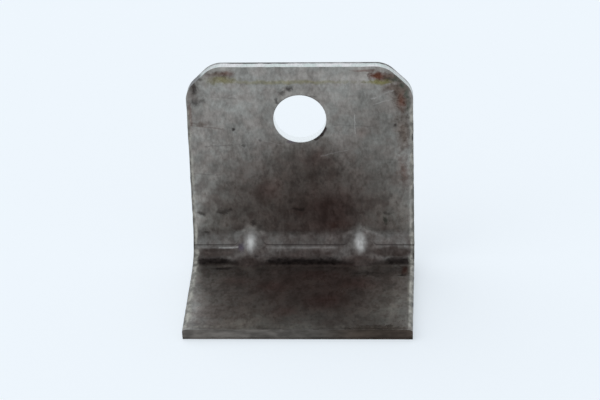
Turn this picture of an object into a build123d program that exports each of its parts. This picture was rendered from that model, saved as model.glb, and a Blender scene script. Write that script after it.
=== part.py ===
from build123d import *
import math
import os

# A small L bracket, blanked and pierced from hot-rolled steel sheet, bent once, with two darts pressed
# across the inside of the bend from the heel. Millimetres, +Z up. The base leaf stands on Z = 0, the
# upright leaf is at +Y, and the origin is under the middle of the bracket.

os.makedirs("parts", exist_ok=True)

# Sheet and leaves
width = 40.0
height = 39.6
depth = 28.0
sheet = 2.0
inside_bend_radius = 5.0

# Top corners of the upright leaf: clipped, then rounded off
corner_clip = 4.7
corner_blend_radius = 4.5

# Bolt hole in the upright leaf, its middle measured down from the top edge
hole_diameter = 9.2
hole_below_top = 10.2

# Soft edge that blanking leaves round the inner face
edge_roll_radius = 0.5

# Darts: a V with a rounded nose, pressed into the bend at 45 degrees. The reach is measured along each
# leaf from the inside corner, and the wall is a little thinner than the sheet because it was stretched.
dart_spacing = 19.8
dart_pair_offset = 0.4
dart_reach = 4.5
dart_half_angle = 55.0
punch_nose_radius = 0.4
dart_wall = 1.5
dart_blend_radius = 0.9
dent_edge_radius = 0.5

# An edge or face lies on a plane where it is nearer to it than this
touch = 0.01

# Planes, radii and places that follow from the sizes above
front = -depth / 2
back = depth / 2
inner_face = back - sheet
outside_bend_radius = inside_bend_radius + sheet
ridge_nose_radius = punch_nose_radius + dart_wall
crest = dart_reach / math.sqrt(2)
dent_bottom = crest - dart_wall
bend_gap = inside_bend_radius * (math.sqrt(2) - 1)
dart_places = [
    (dart_pair_offset - dart_spacing / 2, 0, 0),
    (dart_pair_offset + dart_spacing / 2, 0, 0),
]

# The section of a dart is drawn across it: local +Y runs from the inside corner out over the crest
dart_section = Plane(origin=(0, inner_face, sheet), x_dir=(1, 0, 0), z_dir=(0, -1, -1))


def wedge_tip(nose, nose_radius):
    """Level of the sharp point that the V of a dart would have if its nose weren't rounded."""
    return nose + nose_radius * (1 / math.sin(math.radians(dart_half_angle)) - 1)


def wedge_half_width(tip, level):
    """Half the width of the V of a dart at a level below its sharp point."""
    return (tip - level) * math.tan(math.radians(dart_half_angle))


# Raised side of a dart, kept inside the thickness of both leaves
ridge_tip = wedge_tip(crest, ridge_nose_radius)
ridge_floor = bend_gap - sheet / 2
ridge_foot = wedge_half_width(ridge_tip, ridge_floor)
with BuildPart() as dart_ridge:
    with BuildSketch(dart_section):
        with BuildLine():
            Polyline((-ridge_foot, ridge_floor), (0, ridge_tip), (ridge_foot, ridge_floor), close=True)
        ridge_face = make_face()
        fillet(ridge_face.vertices().sort_by(Axis.Y)[-1], ridge_nose_radius)
    extrude(amount=crest + sheet, both=True)
    split(bisect_by=Plane.XZ.offset(-(inner_face + sheet / 2)), keep=Keep.TOP)
    split(bisect_by=Plane.XY.offset(sheet / 2), keep=Keep.TOP)

# Punch that leaves the dent of a dart in the heel
dent_tip = wedge_tip(dent_bottom, punch_nose_radius)
dent_mouth = -2 * sheet
dent_half_mouth = wedge_half_width(dent_tip, dent_mouth)
with BuildPart() as dart_punch:
    with BuildSketch(dart_section):
        with BuildLine():
            Polyline((-dent_half_mouth, dent_mouth), (0, dent_tip), (dent_half_mouth, dent_mouth), close=True)
        dent_face = make_face()
        fillet(dent_face.vertices().sort_by(Axis.Y)[-1], punch_nose_radius)
    extrude(amount=dart_reach + 2 * sheet, both=True)

with BuildPart() as bracket:
    # Strip bent to an L, as wide as the bracket
    with BuildSketch(Plane.YZ):
        with BuildLine():
            heel_line = FilletPolyline((front, 0), (back, 0), (back, height), radius=outside_bend_radius)
            offset(heel_line, amount=sheet, side=Side.LEFT)
        make_face()
    extrude(amount=width / 2, both=True)

    # Clipped and rounded top corners
    chamfer(bracket.edges().filter_by(Axis.Y).group_by(Axis.Z)[-1], corner_clip)
    clip_ends = bracket.edges().filter_by(Axis.Y).filter_by_position(Axis.Z, height / 2, height + touch)
    fillet(clip_ends, corner_blend_radius)

    # Rolled edge round the inner face: along both leaves and through the bend, but not where leaf meets bend
    upright_edges = bracket.edges().filter_by_position(Axis.Y, inner_face - touch, inner_face + touch)
    base_edges = bracket.edges().filter_by_position(Axis.Z, sheet - touch, sheet + touch)
    bend_edges = bracket.edges().filter_by(
        lambda edge: edge.geom_type == GeomType.CIRCLE and abs(edge.radius - inside_bend_radius) < touch
    )
    rolled = upright_edges.sort_by(Axis.Z)[1:] + base_edges.sort_by(Axis.Y)[:-1] + bend_edges
    fillet(rolled, edge_roll_radius)

    # Bolt hole, pierced square through the upright leaf
    hole_centre = (0, inner_face, height - hole_below_top)
    with Locations(Plane(origin=hole_centre, x_dir=(1, 0, 0), z_dir=(0, -1, 0))):
        Hole(radius=hole_diameter / 2, depth=sheet)

    # Ridges of the darts on the inside of the bend, blended into both leaves
    with Locations(*dart_places):
        add(dart_ridge.part)
    fillet(bracket.edges(Select.NEW), dart_blend_radius)

    # Dents of the darts in the heel, with their mouths drawn in softly
    with Locations(*dart_places):
        add(dart_punch.part, mode=Mode.SUBTRACT)
    fillet(bracket.edges(Select.NEW), dent_edge_radius)

bracket.part.label = "bracket"
export_step(bracket.part, "parts/bracket.step")
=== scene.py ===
"""Looks of a small stamped steel bracket: one folded strip with a bolt hole and two pressed darts."""

import logging
import math
from dataclasses import dataclass, field
from enum import Enum
from functools import cached_property
from itertools import pairwise

import bmesh
import bpy
from bmesh.types import BMEdge, BMesh, BMFace, BMVert
from bpy.types import Material, Node, NodeSocket, Object
from mathutils import Matrix, Vector, noise


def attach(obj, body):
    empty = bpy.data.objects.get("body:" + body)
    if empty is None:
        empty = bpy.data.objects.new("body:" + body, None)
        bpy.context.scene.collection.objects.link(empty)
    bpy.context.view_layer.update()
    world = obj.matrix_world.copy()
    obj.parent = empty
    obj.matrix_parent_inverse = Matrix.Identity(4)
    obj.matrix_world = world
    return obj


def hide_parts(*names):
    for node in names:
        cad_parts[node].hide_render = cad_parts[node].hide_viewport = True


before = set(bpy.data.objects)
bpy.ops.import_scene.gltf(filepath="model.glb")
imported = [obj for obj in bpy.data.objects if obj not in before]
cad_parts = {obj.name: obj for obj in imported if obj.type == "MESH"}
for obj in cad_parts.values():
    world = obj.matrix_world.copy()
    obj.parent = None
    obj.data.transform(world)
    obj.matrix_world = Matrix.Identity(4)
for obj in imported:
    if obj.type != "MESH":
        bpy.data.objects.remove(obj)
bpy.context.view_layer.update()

Triple = tuple[float, float, float]
Colour = Triple

MM = 0.001
# A place lies on a face of the sheet where its depth is within this share of the sheet's thickness
ON_FACE = 0.01
# Depth of the inner face on the strip, and how deep a stain on it reaches, in millimetres
INNER_DEPTH = 2.0
STAIN_THICKNESS = 1.6

log = logging.getLogger("bracket")


class Skin(Enum):
    """Which finish a face of the sheet takes, by its material slot."""

    ROLLED = 0
    CUT = 1


def region(faces: list[BMFace]) -> list[BMFace | BMEdge]:
    """Faces and their edges, which is what lets the extrude and spin operators drop the old end."""
    return faces + list(dict.fromkeys(edge for face in faces for edge in face.edges))


def spaced(*zones: tuple[float, float, float]) -> list[float]:
    """Evenly spaced stations through each zone in turn.

    Args:
        zones: Start, end and largest step of each zone, each starting where the last one ended.

    Returns:
        The stations, from the first zone's start to the last zone's end.
    """
    stations = [zones[0][0]]
    for start, end, step in zones:
        count = max(1, math.ceil((end - start) / step - 1e-6))
        stations += [start + (end - start) * i / count for i in range(1, count + 1)]
    return stations


def soft_max(a: float, b: float, blend: float) -> float:
    """The larger of two levels, with the corner between them rounded over the blend."""
    overlap = max(blend - abs(a - b), 0.0) / blend
    return max(a, b) + overlap * overlap * blend / 4


def bump_at(value: float, middle: float, spread: float) -> float:
    """A smooth bump of height 1 at the middle that fades over the spread."""
    return math.exp(-(((value - middle) / spread) ** 2))


@dataclass
class FoldedStrip:
    """Sheet steel folded to an L, with its two upper corners clipped and rounded. Millimetres.

    A place on it has three strip coordinates: across its width, its run from the base leaf's front edge along
    the middle of the sheet, and its depth from the outside of the bend towards the inside. Its mesh has rows
    along the run and columns across, closer together by the edges, by the bend and over the darts. Each bend
    pass is an angle in degrees and its rows, and the corner steps are the rows of a corner's lower round, its
    clip and its upper round.
    """

    width: float = 40.0
    depth: float = 28.0
    height: float = 39.6
    sheet: float = 2.0
    inside_bend_radius: float = 5.0
    corner_clip: float = 4.7
    corner_blend_radius: float = 4.5
    layers: int = 6
    edge_zone: float = 1.2
    edge_step: float = 0.12
    dart_step: float = 0.15
    column_step: float = 0.45
    row_step: float = 0.5
    bend_zone: float = 3.0
    bend_step: float = 0.2
    bend_passes: tuple[tuple[float, int], ...] = ((51.0, 28), (9.0, 13), (30.0, 16))
    corner_steps: tuple[int, int, int] = (9, 6, 12)

    def __post_init__(self) -> None:
        """Works out the places that follow from the sizes."""
        self.front = -self.depth / 2
        self.outside_radius = self.inside_bend_radius + self.sheet
        self.fold_y = self.depth / 2 - self.outside_radius
        self.fold_z = self.outside_radius
        self.middle_radius = self.inside_bend_radius + self.sheet / 2
        self.fold_run = self.fold_y - self.front
        self.upright_run = self.fold_run + self.middle_radius * math.pi / 2
        self.end_run = self.upright_run + self.height - self.fold_z
        tangent = self.corner_blend_radius * math.tan(math.radians(22.5))
        radius = self.corner_blend_radius
        self.side_centre = (self.width / 2 - radius, self.height - self.corner_clip - tangent)
        self.top_centre = (self.width / 2 - self.corner_clip - tangent, self.height - radius)

    def strip_of(self, point: Vector) -> Vector:
        """Strip coordinates of a point of the folded sheet.

        Args:
            point: The point, in the bracket's frame.

        Returns:
            Across, run and depth.
        """
        y, z = point.y - self.fold_y, point.z - self.fold_z
        if y <= 0:
            return Vector((point.x, point.y - self.front, point.z))
        if z >= 0:
            return Vector((point.x, self.upright_run + z, self.outside_radius - y))
        run = self.fold_run + self.middle_radius * math.atan2(y, -z)
        return Vector((point.x, run, self.outside_radius - math.hypot(y, z)))

    def point_of(self, strip: Vector) -> Vector:
        """The point of the folded sheet that has these strip coordinates.

        Args:
            strip: Across, run and depth.

        Returns:
            The point, in the bracket's frame.
        """
        across, run, depth = strip
        if run <= self.fold_run:
            return Vector((across, self.front + run, depth))
        reach = self.outside_radius - depth
        if run >= self.upright_run:
            return Vector((across, self.fold_y + reach, self.fold_z + run - self.upright_run))
        angle = (run - self.fold_run) / self.middle_radius
        return Vector((across, self.fold_y + reach * math.sin(angle), self.fold_z - reach * math.cos(angle)))

    def side_distance(self, strip: Vector) -> float:
        """How far a place lies from the sides, the clipped corners and the top edge.

        Args:
            strip: Its strip coordinates.

        Returns:
            The distance to the nearest of them.
        """
        across = abs(strip.x)
        level = self.height - (self.end_run - strip.y)
        radius = self.corner_blend_radius
        side = (across - self.side_centre[0], level - self.side_centre[1])
        top = (across - self.top_centre[0], level - self.top_centre[1])
        clip = (self.width / 2 + self.height - self.corner_clip - across - level) / math.sqrt(2)
        if side[0] >= side[1] >= 0:
            nearest = radius - math.hypot(*side)
        elif top[1] >= top[0] >= 0:
            nearest = radius - math.hypot(*top)
        else:
            nearest = min(self.width / 2 - across, self.height - level, clip)
        return max(0.0, nearest)

    def edge_distance(self, strip: Vector) -> float:
        """How far a place lies inside the whole outline, the front edge included."""
        return min(self.side_distance(strip), strip.y)

    def columns(self, darts: list["Dart"]) -> list[float]:
        """Stations across the width, close together at both edges and over each dart.

        Args:
            darts: The darts, from left to right.

        Returns:
            The stations, from the left edge to the right one.
        """
        half = self.width / 2
        zones = [(-half, self.edge_zone - half, self.edge_step)]
        for dart in darts:
            zones.append((zones[-1][1], dart.across - dart.half_breadth, self.column_step))
            zones.append((zones[-1][1], dart.across + dart.half_breadth, self.dart_step))
        zones.append((zones[-1][1], half - self.edge_zone, self.column_step))
        zones.append((half - self.edge_zone, half, self.edge_step))
        return spaced(*zones)

    def upright_rows(self) -> list[tuple[float, float]]:
        """Level and half width of each row of the upright leaf, from the bend to the top edge."""
        radius = self.corner_blend_radius
        half = self.width / 2
        side_x, side_z = self.side_centre
        top_x, top_z = self.top_centre
        side_steps, clip_steps, top_steps = self.corner_steps
        above_bend = self.fold_z + self.bend_zone
        levels = spaced((self.fold_z, above_bend, self.bend_step), (above_bend, side_z, self.row_step))
        rows = [(level, half) for level in levels]
        for step in range(1, side_steps + 1):
            turn = math.radians(45 * step / side_steps)
            rows.append((side_z + radius * math.sin(turn), side_x + radius * math.cos(turn)))
        low, wide = rows[-1]
        high = top_z + radius * math.sin(math.radians(45))
        narrow = top_x + radius * math.cos(math.radians(45))
        for step in range(1, clip_steps + 1):
            rows.append((low + (high - low) * step / clip_steps, wide + (narrow - wide) * step / clip_steps))
        for step in range(1, top_steps + 1):
            turn = math.radians(45 + 45 * step / top_steps)
            rows.append((top_z + radius * math.sin(turn), top_x + radius * math.cos(turn)))
        return rows

    def narrowing(self, level: float) -> float:
        """How much the columns of the upright leaf have drawn in at a level below its clipped corners."""
        above = max(0.0, level - self.side_centre[1])
        half = self.side_centre[0] + math.sqrt(self.corner_blend_radius**2 - above * above)
        return half * 2 / self.width

    def front_end(self, bm: BMesh, columns: list[float]) -> list[BMFace]:
        """Makes the cut front end of the strip, the section that is then drawn along it.

        Args:
            bm: The mesh to make it in.
            columns: Stations across the width.

        Returns:
            The faces of the section.
        """
        count = len(columns) - 1
        made = bmesh.ops.create_grid(bm, x_segments=count, y_segments=self.layers, size=0.5)["verts"]
        for vert in made:
            across = columns[round((vert.co.x + 0.5) * count)]
            vert.co = (across, self.front, (vert.co.y + 0.5) * self.sheet)
        return bm.faces[:]

    def draw_on(self, bm: BMesh, end: list[BMFace], move: Matrix) -> list[BMFace]:
        """Extrudes the end of the strip by one row.

        Args:
            bm: The mesh.
            end: The faces of the present end.
            move: The move of the new end from the present one.

        Returns:
            The faces of the new end.
        """
        grown = bmesh.ops.extrude_face_region(bm, geom=region(end))["geom"]
        bmesh.ops.transform(bm, matrix=move, verts=[g for g in grown if isinstance(g, BMVert)])
        return [g for g in grown if isinstance(g, BMFace)]

    def fold(self, bm: BMesh, darts: list["Dart"]) -> None:
        """Draws the whole strip: along the base, round the bend and up the upright leaf.

        Args:
            bm: The empty mesh to draw it in.
            darts: The darts, which need closer rows and columns.
        """
        end = self.front_end(bm, self.columns(darts))
        near_bend = self.fold_run - self.bend_zone
        stations = spaced(
            (0, self.edge_zone, self.edge_step),
            (self.edge_zone, near_bend, self.row_step),
            (near_bend, self.fold_run, self.bend_step),
        )
        for before, after in pairwise(stations):
            end = self.draw_on(bm, end, Matrix.Translation((0, after - before, 0)))
        for degrees, steps in self.bend_passes:
            turned = bmesh.ops.spin(
                bm, geom=region(end), cent=(0, self.fold_y, self.fold_z), axis=(1, 0, 0),
                angle=math.radians(degrees), steps=steps,
            )
            end = [g for g in turned["geom_last"] if isinstance(g, BMFace)]
        for (low, wide), (high, narrow) in pairwise(self.upright_rows()):
            move = Matrix.Translation((0, 0, high - low)) @ Matrix.Diagonal((narrow / wide, 1, 1, 1))
            end = self.draw_on(bm, end, move)


@dataclass
class BoltHole:
    """Round hole pierced through the upright leaf, drawn in a little on the punch side. Millimetres."""

    diameter: float = 9.2
    below_top: float = 10.2
    mouth: float = 0.22
    mouth_steps: int = 4
    wall_stations: tuple[float, float] = (0.35, 0.65)
    exit_break: float = 0.08
    rim: float = 1.0
    clearing: float = 6.3
    touch: float = 0.01

    def rim_distance(self, strip: Vector, sheet: FoldedStrip) -> float:
        """How far a place is from the hole's wall."""
        return math.hypot(strip.x, strip.y - (sheet.end_run - self.below_top)) - self.diameter / 2

    def lining(self, sheet: FoldedStrip) -> list[tuple[float, float]]:
        """Section of the hole's wall: radius and depth from the inner face, from its mouth to its exit."""
        radius = self.diameter / 2
        section = [(radius + self.rim, 0.0), (radius + (self.rim + self.mouth) / 2, 0.0)]
        for step in range(self.mouth_steps + 1):
            turn = math.radians(90 * step / self.mouth_steps)
            section.append((radius + self.mouth * (1 - math.sin(turn)), self.mouth * (1 - math.cos(turn))))
        for share in self.wall_stations:
            section.append((radius, sheet.sheet * share))
        section.append((radius, sheet.sheet - self.exit_break))
        section.append((radius + self.exit_break, sheet.sheet))
        section.append((radius + self.rim, sheet.sheet))
        return section

    def draw_ring(
        self, bm: BMesh, ring: list[BMEdge], middle: Vector, radius: float, depth: float
    ) -> list[BMEdge]:
        """Extrudes a ring of edges to the next radius and depth of the hole's section.

        Args:
            bm: The mesh.
            ring: The edges to extrude.
            middle: Middle of the hole on the inner face.
            radius: Radius of the new ring.
            depth: Its depth behind the inner face.

        Returns:
            The edges of the new ring.
        """
        grown = bmesh.ops.extrude_edge_only(bm, edges=ring)["geom"]
        for vert in (g for g in grown if isinstance(g, BMVert)):
            spoke = Vector((vert.co.x - middle.x, 0, vert.co.z - middle.z)).normalized()
            vert.co = middle + spoke * radius + Vector((0, depth, 0))
        return [g for g in grown if isinstance(g, BMEdge) and g.is_boundary]

    def pierce(self, bm: BMesh, sheet: FoldedStrip) -> None:
        """Opens both faces of the upright leaf and joins them through the sheet with the hole's wall.

        Args:
            bm: The mesh of the folded strip.
            sheet: The strip.
        """
        inner = sheet.fold_y + sheet.inside_bend_radius
        middle = Vector((0, inner, sheet.height - self.below_top))
        cleared = []
        for face in bm.faces:
            offset = face.calc_center_median() - middle
            if abs(offset.z) < self.clearing and offset.y > -self.touch:
                if abs(offset.x) < self.clearing * sheet.narrowing(middle.z + offset.z):
                    cleared.append(face)
        bmesh.ops.delete(bm, geom=cleared, context="FACES")
        openings = [edge for edge in bm.edges if edge.is_boundary]
        ring = [edge for edge in openings if edge.verts[0].co.y < inner + sheet.sheet / 2]
        back = [edge for edge in openings if edge.verts[0].co.y > inner + sheet.sheet / 2]
        section = self.lining(sheet)
        for radius, depth in section:
            ring = self.draw_ring(bm, ring, middle, radius, depth)
        self.draw_ring(bm, back, middle, *section[-1])


@dataclass
class Dart:
    """Dart pressed into the bend from the heel: a ridge on the inside and a dent outside. Millimetres.

    A level is measured from the inside corner of the bend, at 45 degrees between the two leaves.
    """

    across: float
    reach: float = 4.5
    half_angle: float = 55.0
    punch_nose_radius: float = 0.4
    wall: float = 1.5
    crown_radius: float = 30.0
    ridge_blend: float = 1.9
    dent_blend: float = 0.5
    half_breadth: float = 3.7
    margin: float = 1.0

    def __post_init__(self) -> None:
        """Works out the crest of the ridge and the bottom of the dent."""
        self.crest = self.reach / math.sqrt(2)
        self.bottom = self.crest - self.wall

    def wedge(self, offset: float, nose: float, radius: float) -> float:
        """Level of a V with a rounded nose at an offset from its middle.

        Args:
            offset: Distance across the dart.
            nose: Level of the nose.
            radius: Radius of the nose.

        Returns:
            The level of the V there.
        """
        half = math.radians(self.half_angle)
        if abs(offset) < radius * math.cos(half):
            return nose - radius + math.sqrt(radius * radius - offset * offset)
        return nose + radius * (1 / math.sin(half) - 1) - abs(offset) / math.tan(half)

    def press(self, point: Vector, strip: Vector, sheet: FoldedStrip) -> Vector:
        """Moves a point of the sheet out along the dart, on whichever face it lies.

        Args:
            point: The point before the dart is pressed.
            strip: Its strip coordinates.
            sheet: The sheet that is pressed.

        Returns:
            The point after the dart is pressed.
        """
        offset = strip.x - self.across
        if abs(offset) > self.half_breadth + self.margin:
            return point
        out = Vector((0, -1, 1)).normalized()
        corner = Vector((0, sheet.fold_y + sheet.inside_bend_radius, sheet.sheet))
        level = (point - corner).dot(out)
        along = (point - corner).dot(Vector((0, 1, 1)).normalized())
        crown = along * along / (2 * self.crown_radius)
        if strip.z > sheet.sheet * (1 - ON_FACE):
            nose_radius = self.punch_nose_radius + self.wall
            raised = soft_max(level, self.wedge(offset, self.crest - crown, nose_radius), self.ridge_blend)
        elif strip.z < sheet.sheet * ON_FACE:
            raised = soft_max(level, self.wedge(offset, self.bottom, self.punch_nose_radius), self.dent_blend)
        else:
            return point
        return point + out * (raised - level)


@dataclass
class WornEdges:
    """What blanking, the bending tool and use leave on the sheet's edges and faces. Millimetres."""

    side_roll: float = 0.95
    end_roll: float = 0.35
    roll_slope: float = 0.5
    roll_change_below_top: tuple[float, float] = (9.0, 2.0)
    outer_break: float = 0.08
    waviness: float = 0.03
    wave_length: float = 11.0
    wave_inset: float = 2.0
    raggedness: float = 0.10
    tooth_length: float = 1.3
    tear_share: float = 0.4
    tear_repeats: float = 2.5
    tool_line_run: float = 26.97
    tool_line_depth: float = 0.06
    tool_line_spread: float = 0.13
    tool_lip_run: float = 26.35
    tool_lip_height: float = 0.035
    tool_lip_spread: float = 0.35
    at_edge: float = 0.01
    slope_share: float = 0.999
    slope_inset: float = 0.03
    slope_step: float = 0.01

    def roll(self, distance: float, width: float) -> float:
        """How far the inner face is drawn in at a distance from a cut edge with a roll of this width."""
        share = max(0.0, 1 - distance / width)
        return self.roll_slope * width * (1 - math.sqrt(max(0.0, 1 - share * share)))

    def wear(self, strip: Vector, sheet: FoldedStrip) -> Vector:
        """Strip coordinates of a place after the edges are rolled, worn and marked.

        Args:
            strip: Its strip coordinates on the plain strip.
            sheet: The strip.

        Returns:
            The new strip coordinates.
        """
        inward = strip.z / sheet.sheet
        edge = sheet.edge_distance(strip)
        start, end = self.roll_change_below_top
        to_top = min(1.0, max(0.0, (strip.y - sheet.end_run + start) / (start - end)))
        width = self.side_roll + (self.end_roll - self.side_roll) * to_top
        depth = strip.z - inward * self.roll(sheet.side_distance(strip), width)
        depth += (1 - inward) * max(0.0, self.outer_break - edge)
        place = Vector((strip.x, strip.y, 0))
        if inward > 1 - ON_FACE:
            depth += self.waviness * noise.noise(place / self.wave_length) * min(1.0, edge / self.wave_inset)
            depth -= self.tool_line_depth * bump_at(strip.y, self.tool_line_run, self.tool_line_spread)
            depth += self.tool_lip_height * bump_at(strip.y, self.tool_lip_run, self.tool_lip_spread)
        worn = Vector((strip.x, strip.y, depth))
        if edge < self.at_edge:
            torn = noise.noise(Vector((*place.xy, strip.z)) * self.tear_repeats)
            ragged = self.raggedness * (0.5 + 0.5 * noise.noise(place / self.tooth_length))
            ragged += self.tear_share * self.raggedness * (1 - inward) * (1 + torn)
            worn -= self.outward(strip, sheet) * ragged
        return worn

    def outward(self, strip: Vector, sheet: FoldedStrip) -> Vector:
        """The direction out of the sheet's outline at a place on it, in strip coordinates.

        Args:
            strip: A place on the outline.
            sheet: The strip.

        Returns:
            A unit vector across and along the strip.
        """
        inset = math.copysign(self.slope_inset, strip.y - sheet.end_run / 2)
        inside = Vector((strip.x * self.slope_share, strip.y - inset, strip.z))
        slope = Vector((0, 0, 0))
        for axis in (0, 1):
            step = Vector((0, 0, 0))
            step[axis] = self.slope_step
            slope[axis] = sheet.edge_distance(inside - step) - sheet.edge_distance(inside + step)
        return slope.normalized()


@dataclass(frozen=True)
class Pattern:
    """A cloudy pattern on the strip.

    Its scale is in repeats a millimetre, its detail in octaves, and its stretch is a further scale along each
    strip coordinate. The shift keeps two patterns from falling together.
    """

    scale: float
    detail: float = 3.0
    stretch: Triple = (1.0, 1.0, 1.0)
    shift: Triple = (0.0, 0.0, 0.0)
    roughness: float = 0.55


@dataclass(frozen=True)
class Ramp:
    """A smooth change from low to high while a value goes from start to end."""

    start: float
    end: float
    low: float = 0.0
    high: float = 1.0


@dataclass(frozen=True)
class Spot:
    """A round spot in strip coordinates.

    Its edge wanders by ragged millimetres, fades over softness as a share of its radius, and is broken into
    flakes.
    """

    centre: Triple
    reach: Triple
    ragged: float
    softness: float = 0.6
    broken: float = 0.0


@dataclass(frozen=True)
class Relief:
    """Relief that a pattern gives a finish: its depth in millimetres, and the share of it that shows."""

    depth: float
    strength: float


class Veil(Enum):
    """What soaks into the steel, by the tint that it lays over what is under it. The oil tint also lays
    painted shade and painted reflection.
    """

    GREY = (0.64, 0.63, 0.62)
    OIL_AND_SHADE = (0.415, 0.36, 0.345)
    BROWN = (0.63, 0.50, 0.50)
    RED = (0.76, 0.52, 0.51)
    PALE = (1.45, 1.48, 1.46)


class Coat(Enum):
    """What covers the steel, by the colour that its reflection takes. Soot also lays painted shade, and bare
    steel a painted highlight.
    """

    SOOT_AND_SHADE = (0.034, 0.027, 0.025)
    OLIVE = (0.185, 0.165, 0.075)
    RUST = (0.105, 0.042, 0.028)
    BROWN_SCALE = (0.110, 0.080, 0.064)
    GREEN_SCALE = (0.062, 0.070, 0.054)
    VIOLET_SCALE = (0.070, 0.055, 0.080)
    BARE_AND_HIGHLIGHT = (0.46, 0.44, 0.42)


@dataclass(frozen=True)
class Stain:
    """A mark on the inner face of the sheet, of something that soaks in or covers it; some of the marks are
    painted shade and painted reflection.
    """

    what: Veil | Coat
    across: float
    run: float
    reach_across: float
    reach_run: float
    strength: float = 0.8
    ragged: float = 1.0
    softness: float = 0.8
    broken: float = 1.5

    def spot(self) -> Spot:
        """The spot that the mark fills. What soaks in has an even edge, and what covers has a flaky one."""
        centre = (self.across, self.run, INNER_DEPTH)
        reach = (self.reach_across, self.reach_run, STAIN_THICKNESS)
        broken = 0.0 if isinstance(self.what, Veil) else self.broken
        return Spot(centre, reach, self.ragged, self.softness, broken)


@dataclass(frozen=True)
class Stroke:
    """A long narrow mark on the inner face, from one place across and along the strip to another."""

    what: Coat
    start: tuple[float, float]
    end: tuple[float, float]
    width: float = 0.14
    strength: float = 0.2
    softness: float = 1.0
    ragged: float = 0.6
    broken: float = 0.8


class NodeBench:
    """Adds and joins the nodes of one material, whose patterns follow the strip in millimetres."""

    noise_middle: float = 0.5
    wandering: Pattern = Pattern(0.7, 4.0)
    flaking: Pattern = Pattern(1.1, 4.0, roughness=0.65)
    coat_cover: Ramp = Ramp(-0.22, 0.22)
    coat_levels: tuple[float, float] = (0.55, 1.5)

    def __init__(self, name: str) -> None:
        """Starts a material with a plain shader and the strip coordinates."""
        self.material = bpy.data.materials.new(name)
        self.material.use_nodes = True
        self.tree = self.material.node_tree
        self.shader = self.tree.nodes["Principled BSDF"]
        self.strip = self.node("ShaderNodeAttribute", attribute_name="strip").outputs["Vector"]
        self.rim = self.node("ShaderNodeAttribute", attribute_name="rim").outputs["Fac"]
        self.hole = self.node("ShaderNodeAttribute", attribute_name="hole").outputs["Fac"]

    def node(self, kind: str, **settings: object) -> Node:
        """Adds a node.

        Args:
            kind: Its Blender type.
            settings: Its properties.

        Returns:
            The node.
        """
        made = self.tree.nodes.new(kind)
        for name, value in settings.items():
            setattr(made, name, value)
        return made

    def feed(self, socket: NodeSocket, value: object) -> None:
        """Sets a socket to a number or colour, or joins another node's output to it.

        Args:
            socket: The input.
            value: A number, a colour or an output.
        """
        if isinstance(value, NodeSocket):
            self.tree.links.new(value, socket)
        elif isinstance(value, tuple) and len(value) == 3 and socket.type == "RGBA":
            socket.default_value = (*value, 1.0)
        else:
            socket.default_value = value

    def vector(self, operation: str, *values: object) -> NodeSocket:
        """Output of a vector sum."""
        made = self.node("ShaderNodeVectorMath", operation=operation)
        for socket, value in zip(made.inputs, values):
            self.feed(socket, value)
        return made.outputs["Value" if operation in ("LENGTH", "DOT_PRODUCT") else "Vector"]

    def scaled(self, value: object, scale: object) -> NodeSocket:
        """Output of a vector or colour times a number."""
        made = self.node("ShaderNodeVectorMath", operation="SCALE")
        self.feed(made.inputs[0], value)
        self.feed(made.inputs[3], scale)
        return made.outputs["Vector"]

    def sum(self, operation: str, *values: object, clamp: bool = False) -> NodeSocket:
        """Output of a sum of numbers."""
        made = self.node("ShaderNodeMath", operation=operation, use_clamp=clamp)
        for socket, value in zip(made.inputs, values):
            self.feed(socket, value)
        return made.outputs[0]

    def product(self, first: object, *others: object) -> NodeSocket:
        """Output of numbers multiplied one after another."""
        for other in others:
            first = self.sum("MULTIPLY", first, other)
        return first

    def places(self) -> tuple[NodeSocket, NodeSocket, NodeSocket]:
        """The three strip coordinates as numbers: across, run and depth."""
        parted = self.node("ShaderNodeSeparateXYZ")
        self.feed(parted.inputs[0], self.strip)
        return tuple(parted.outputs)

    def cloud(self, pattern: Pattern, place: NodeSocket) -> Node:
        """Noise node of a pattern at a place, without its stretch and shift."""
        made = self.node("ShaderNodeTexNoise")
        self.feed(made.inputs["Vector"], place)
        self.feed(made.inputs["Scale"], pattern.scale)
        self.feed(made.inputs["Detail"], pattern.detail)
        self.feed(made.inputs["Roughness"], pattern.roughness)
        return made

    def noise(self, pattern: Pattern) -> NodeSocket:
        """A pattern on the strip, from 0 to 1."""
        mapping = self.node("ShaderNodeMapping")
        self.feed(mapping.inputs["Vector"], self.strip)
        self.feed(mapping.inputs["Scale"], pattern.stretch)
        self.feed(mapping.inputs["Location"], pattern.shift)
        return self.cloud(pattern, mapping.outputs["Vector"]).outputs["Fac"]

    def fade(self, value: NodeSocket, ramp: Ramp) -> NodeSocket:
        """Smooth change of a value along a ramp."""
        made = self.node("ShaderNodeMapRange", interpolation_type="SMOOTHSTEP")
        limits = {"From Min": ramp.start, "From Max": ramp.end, "To Min": ramp.low, "To Max": ramp.high}
        for name, number in limits.items():
            self.feed(made.inputs[name], number)
        self.feed(made.inputs["Value"], value)
        return made.outputs["Result"]

    def mix(self, share: object, first: object, second: object, blend: str = "MIX") -> NodeSocket:
        """Colour that goes from the first to the second by the share.

        Args:
            share: 0 for the first and 1 for the second.
            first: A colour.
            second: A colour.
            blend: How the second goes over the first.

        Returns:
            The mixed colour.
        """
        made = self.node("ShaderNodeMix", data_type="RGBA", blend_type=blend)
        self.feed(made.inputs[0], share)
        self.feed(made.inputs[6], first)
        self.feed(made.inputs[7], second)
        return made.outputs[2]

    def tinted(self, colour: object, tint: object) -> NodeSocket:
        """A colour times another."""
        return self.mix(1.0, colour, tint, "MULTIPLY")

    def greys(self, share: NodeSocket, levels: tuple[float, float]) -> NodeSocket:
        """A grey tint that goes from the first level to the second by the share."""
        return self.mix(share, (levels[0],) * 3, (levels[1],) * 3)

    def shades(self, share: NodeSocket, colour: Colour, levels: tuple[float, float]) -> NodeSocket:
        """A colour that goes from the first level of itself to the second by the share."""
        low, high = (tuple(channel * level for channel in colour) for level in levels)
        return self.mix(share, low, high)

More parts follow.
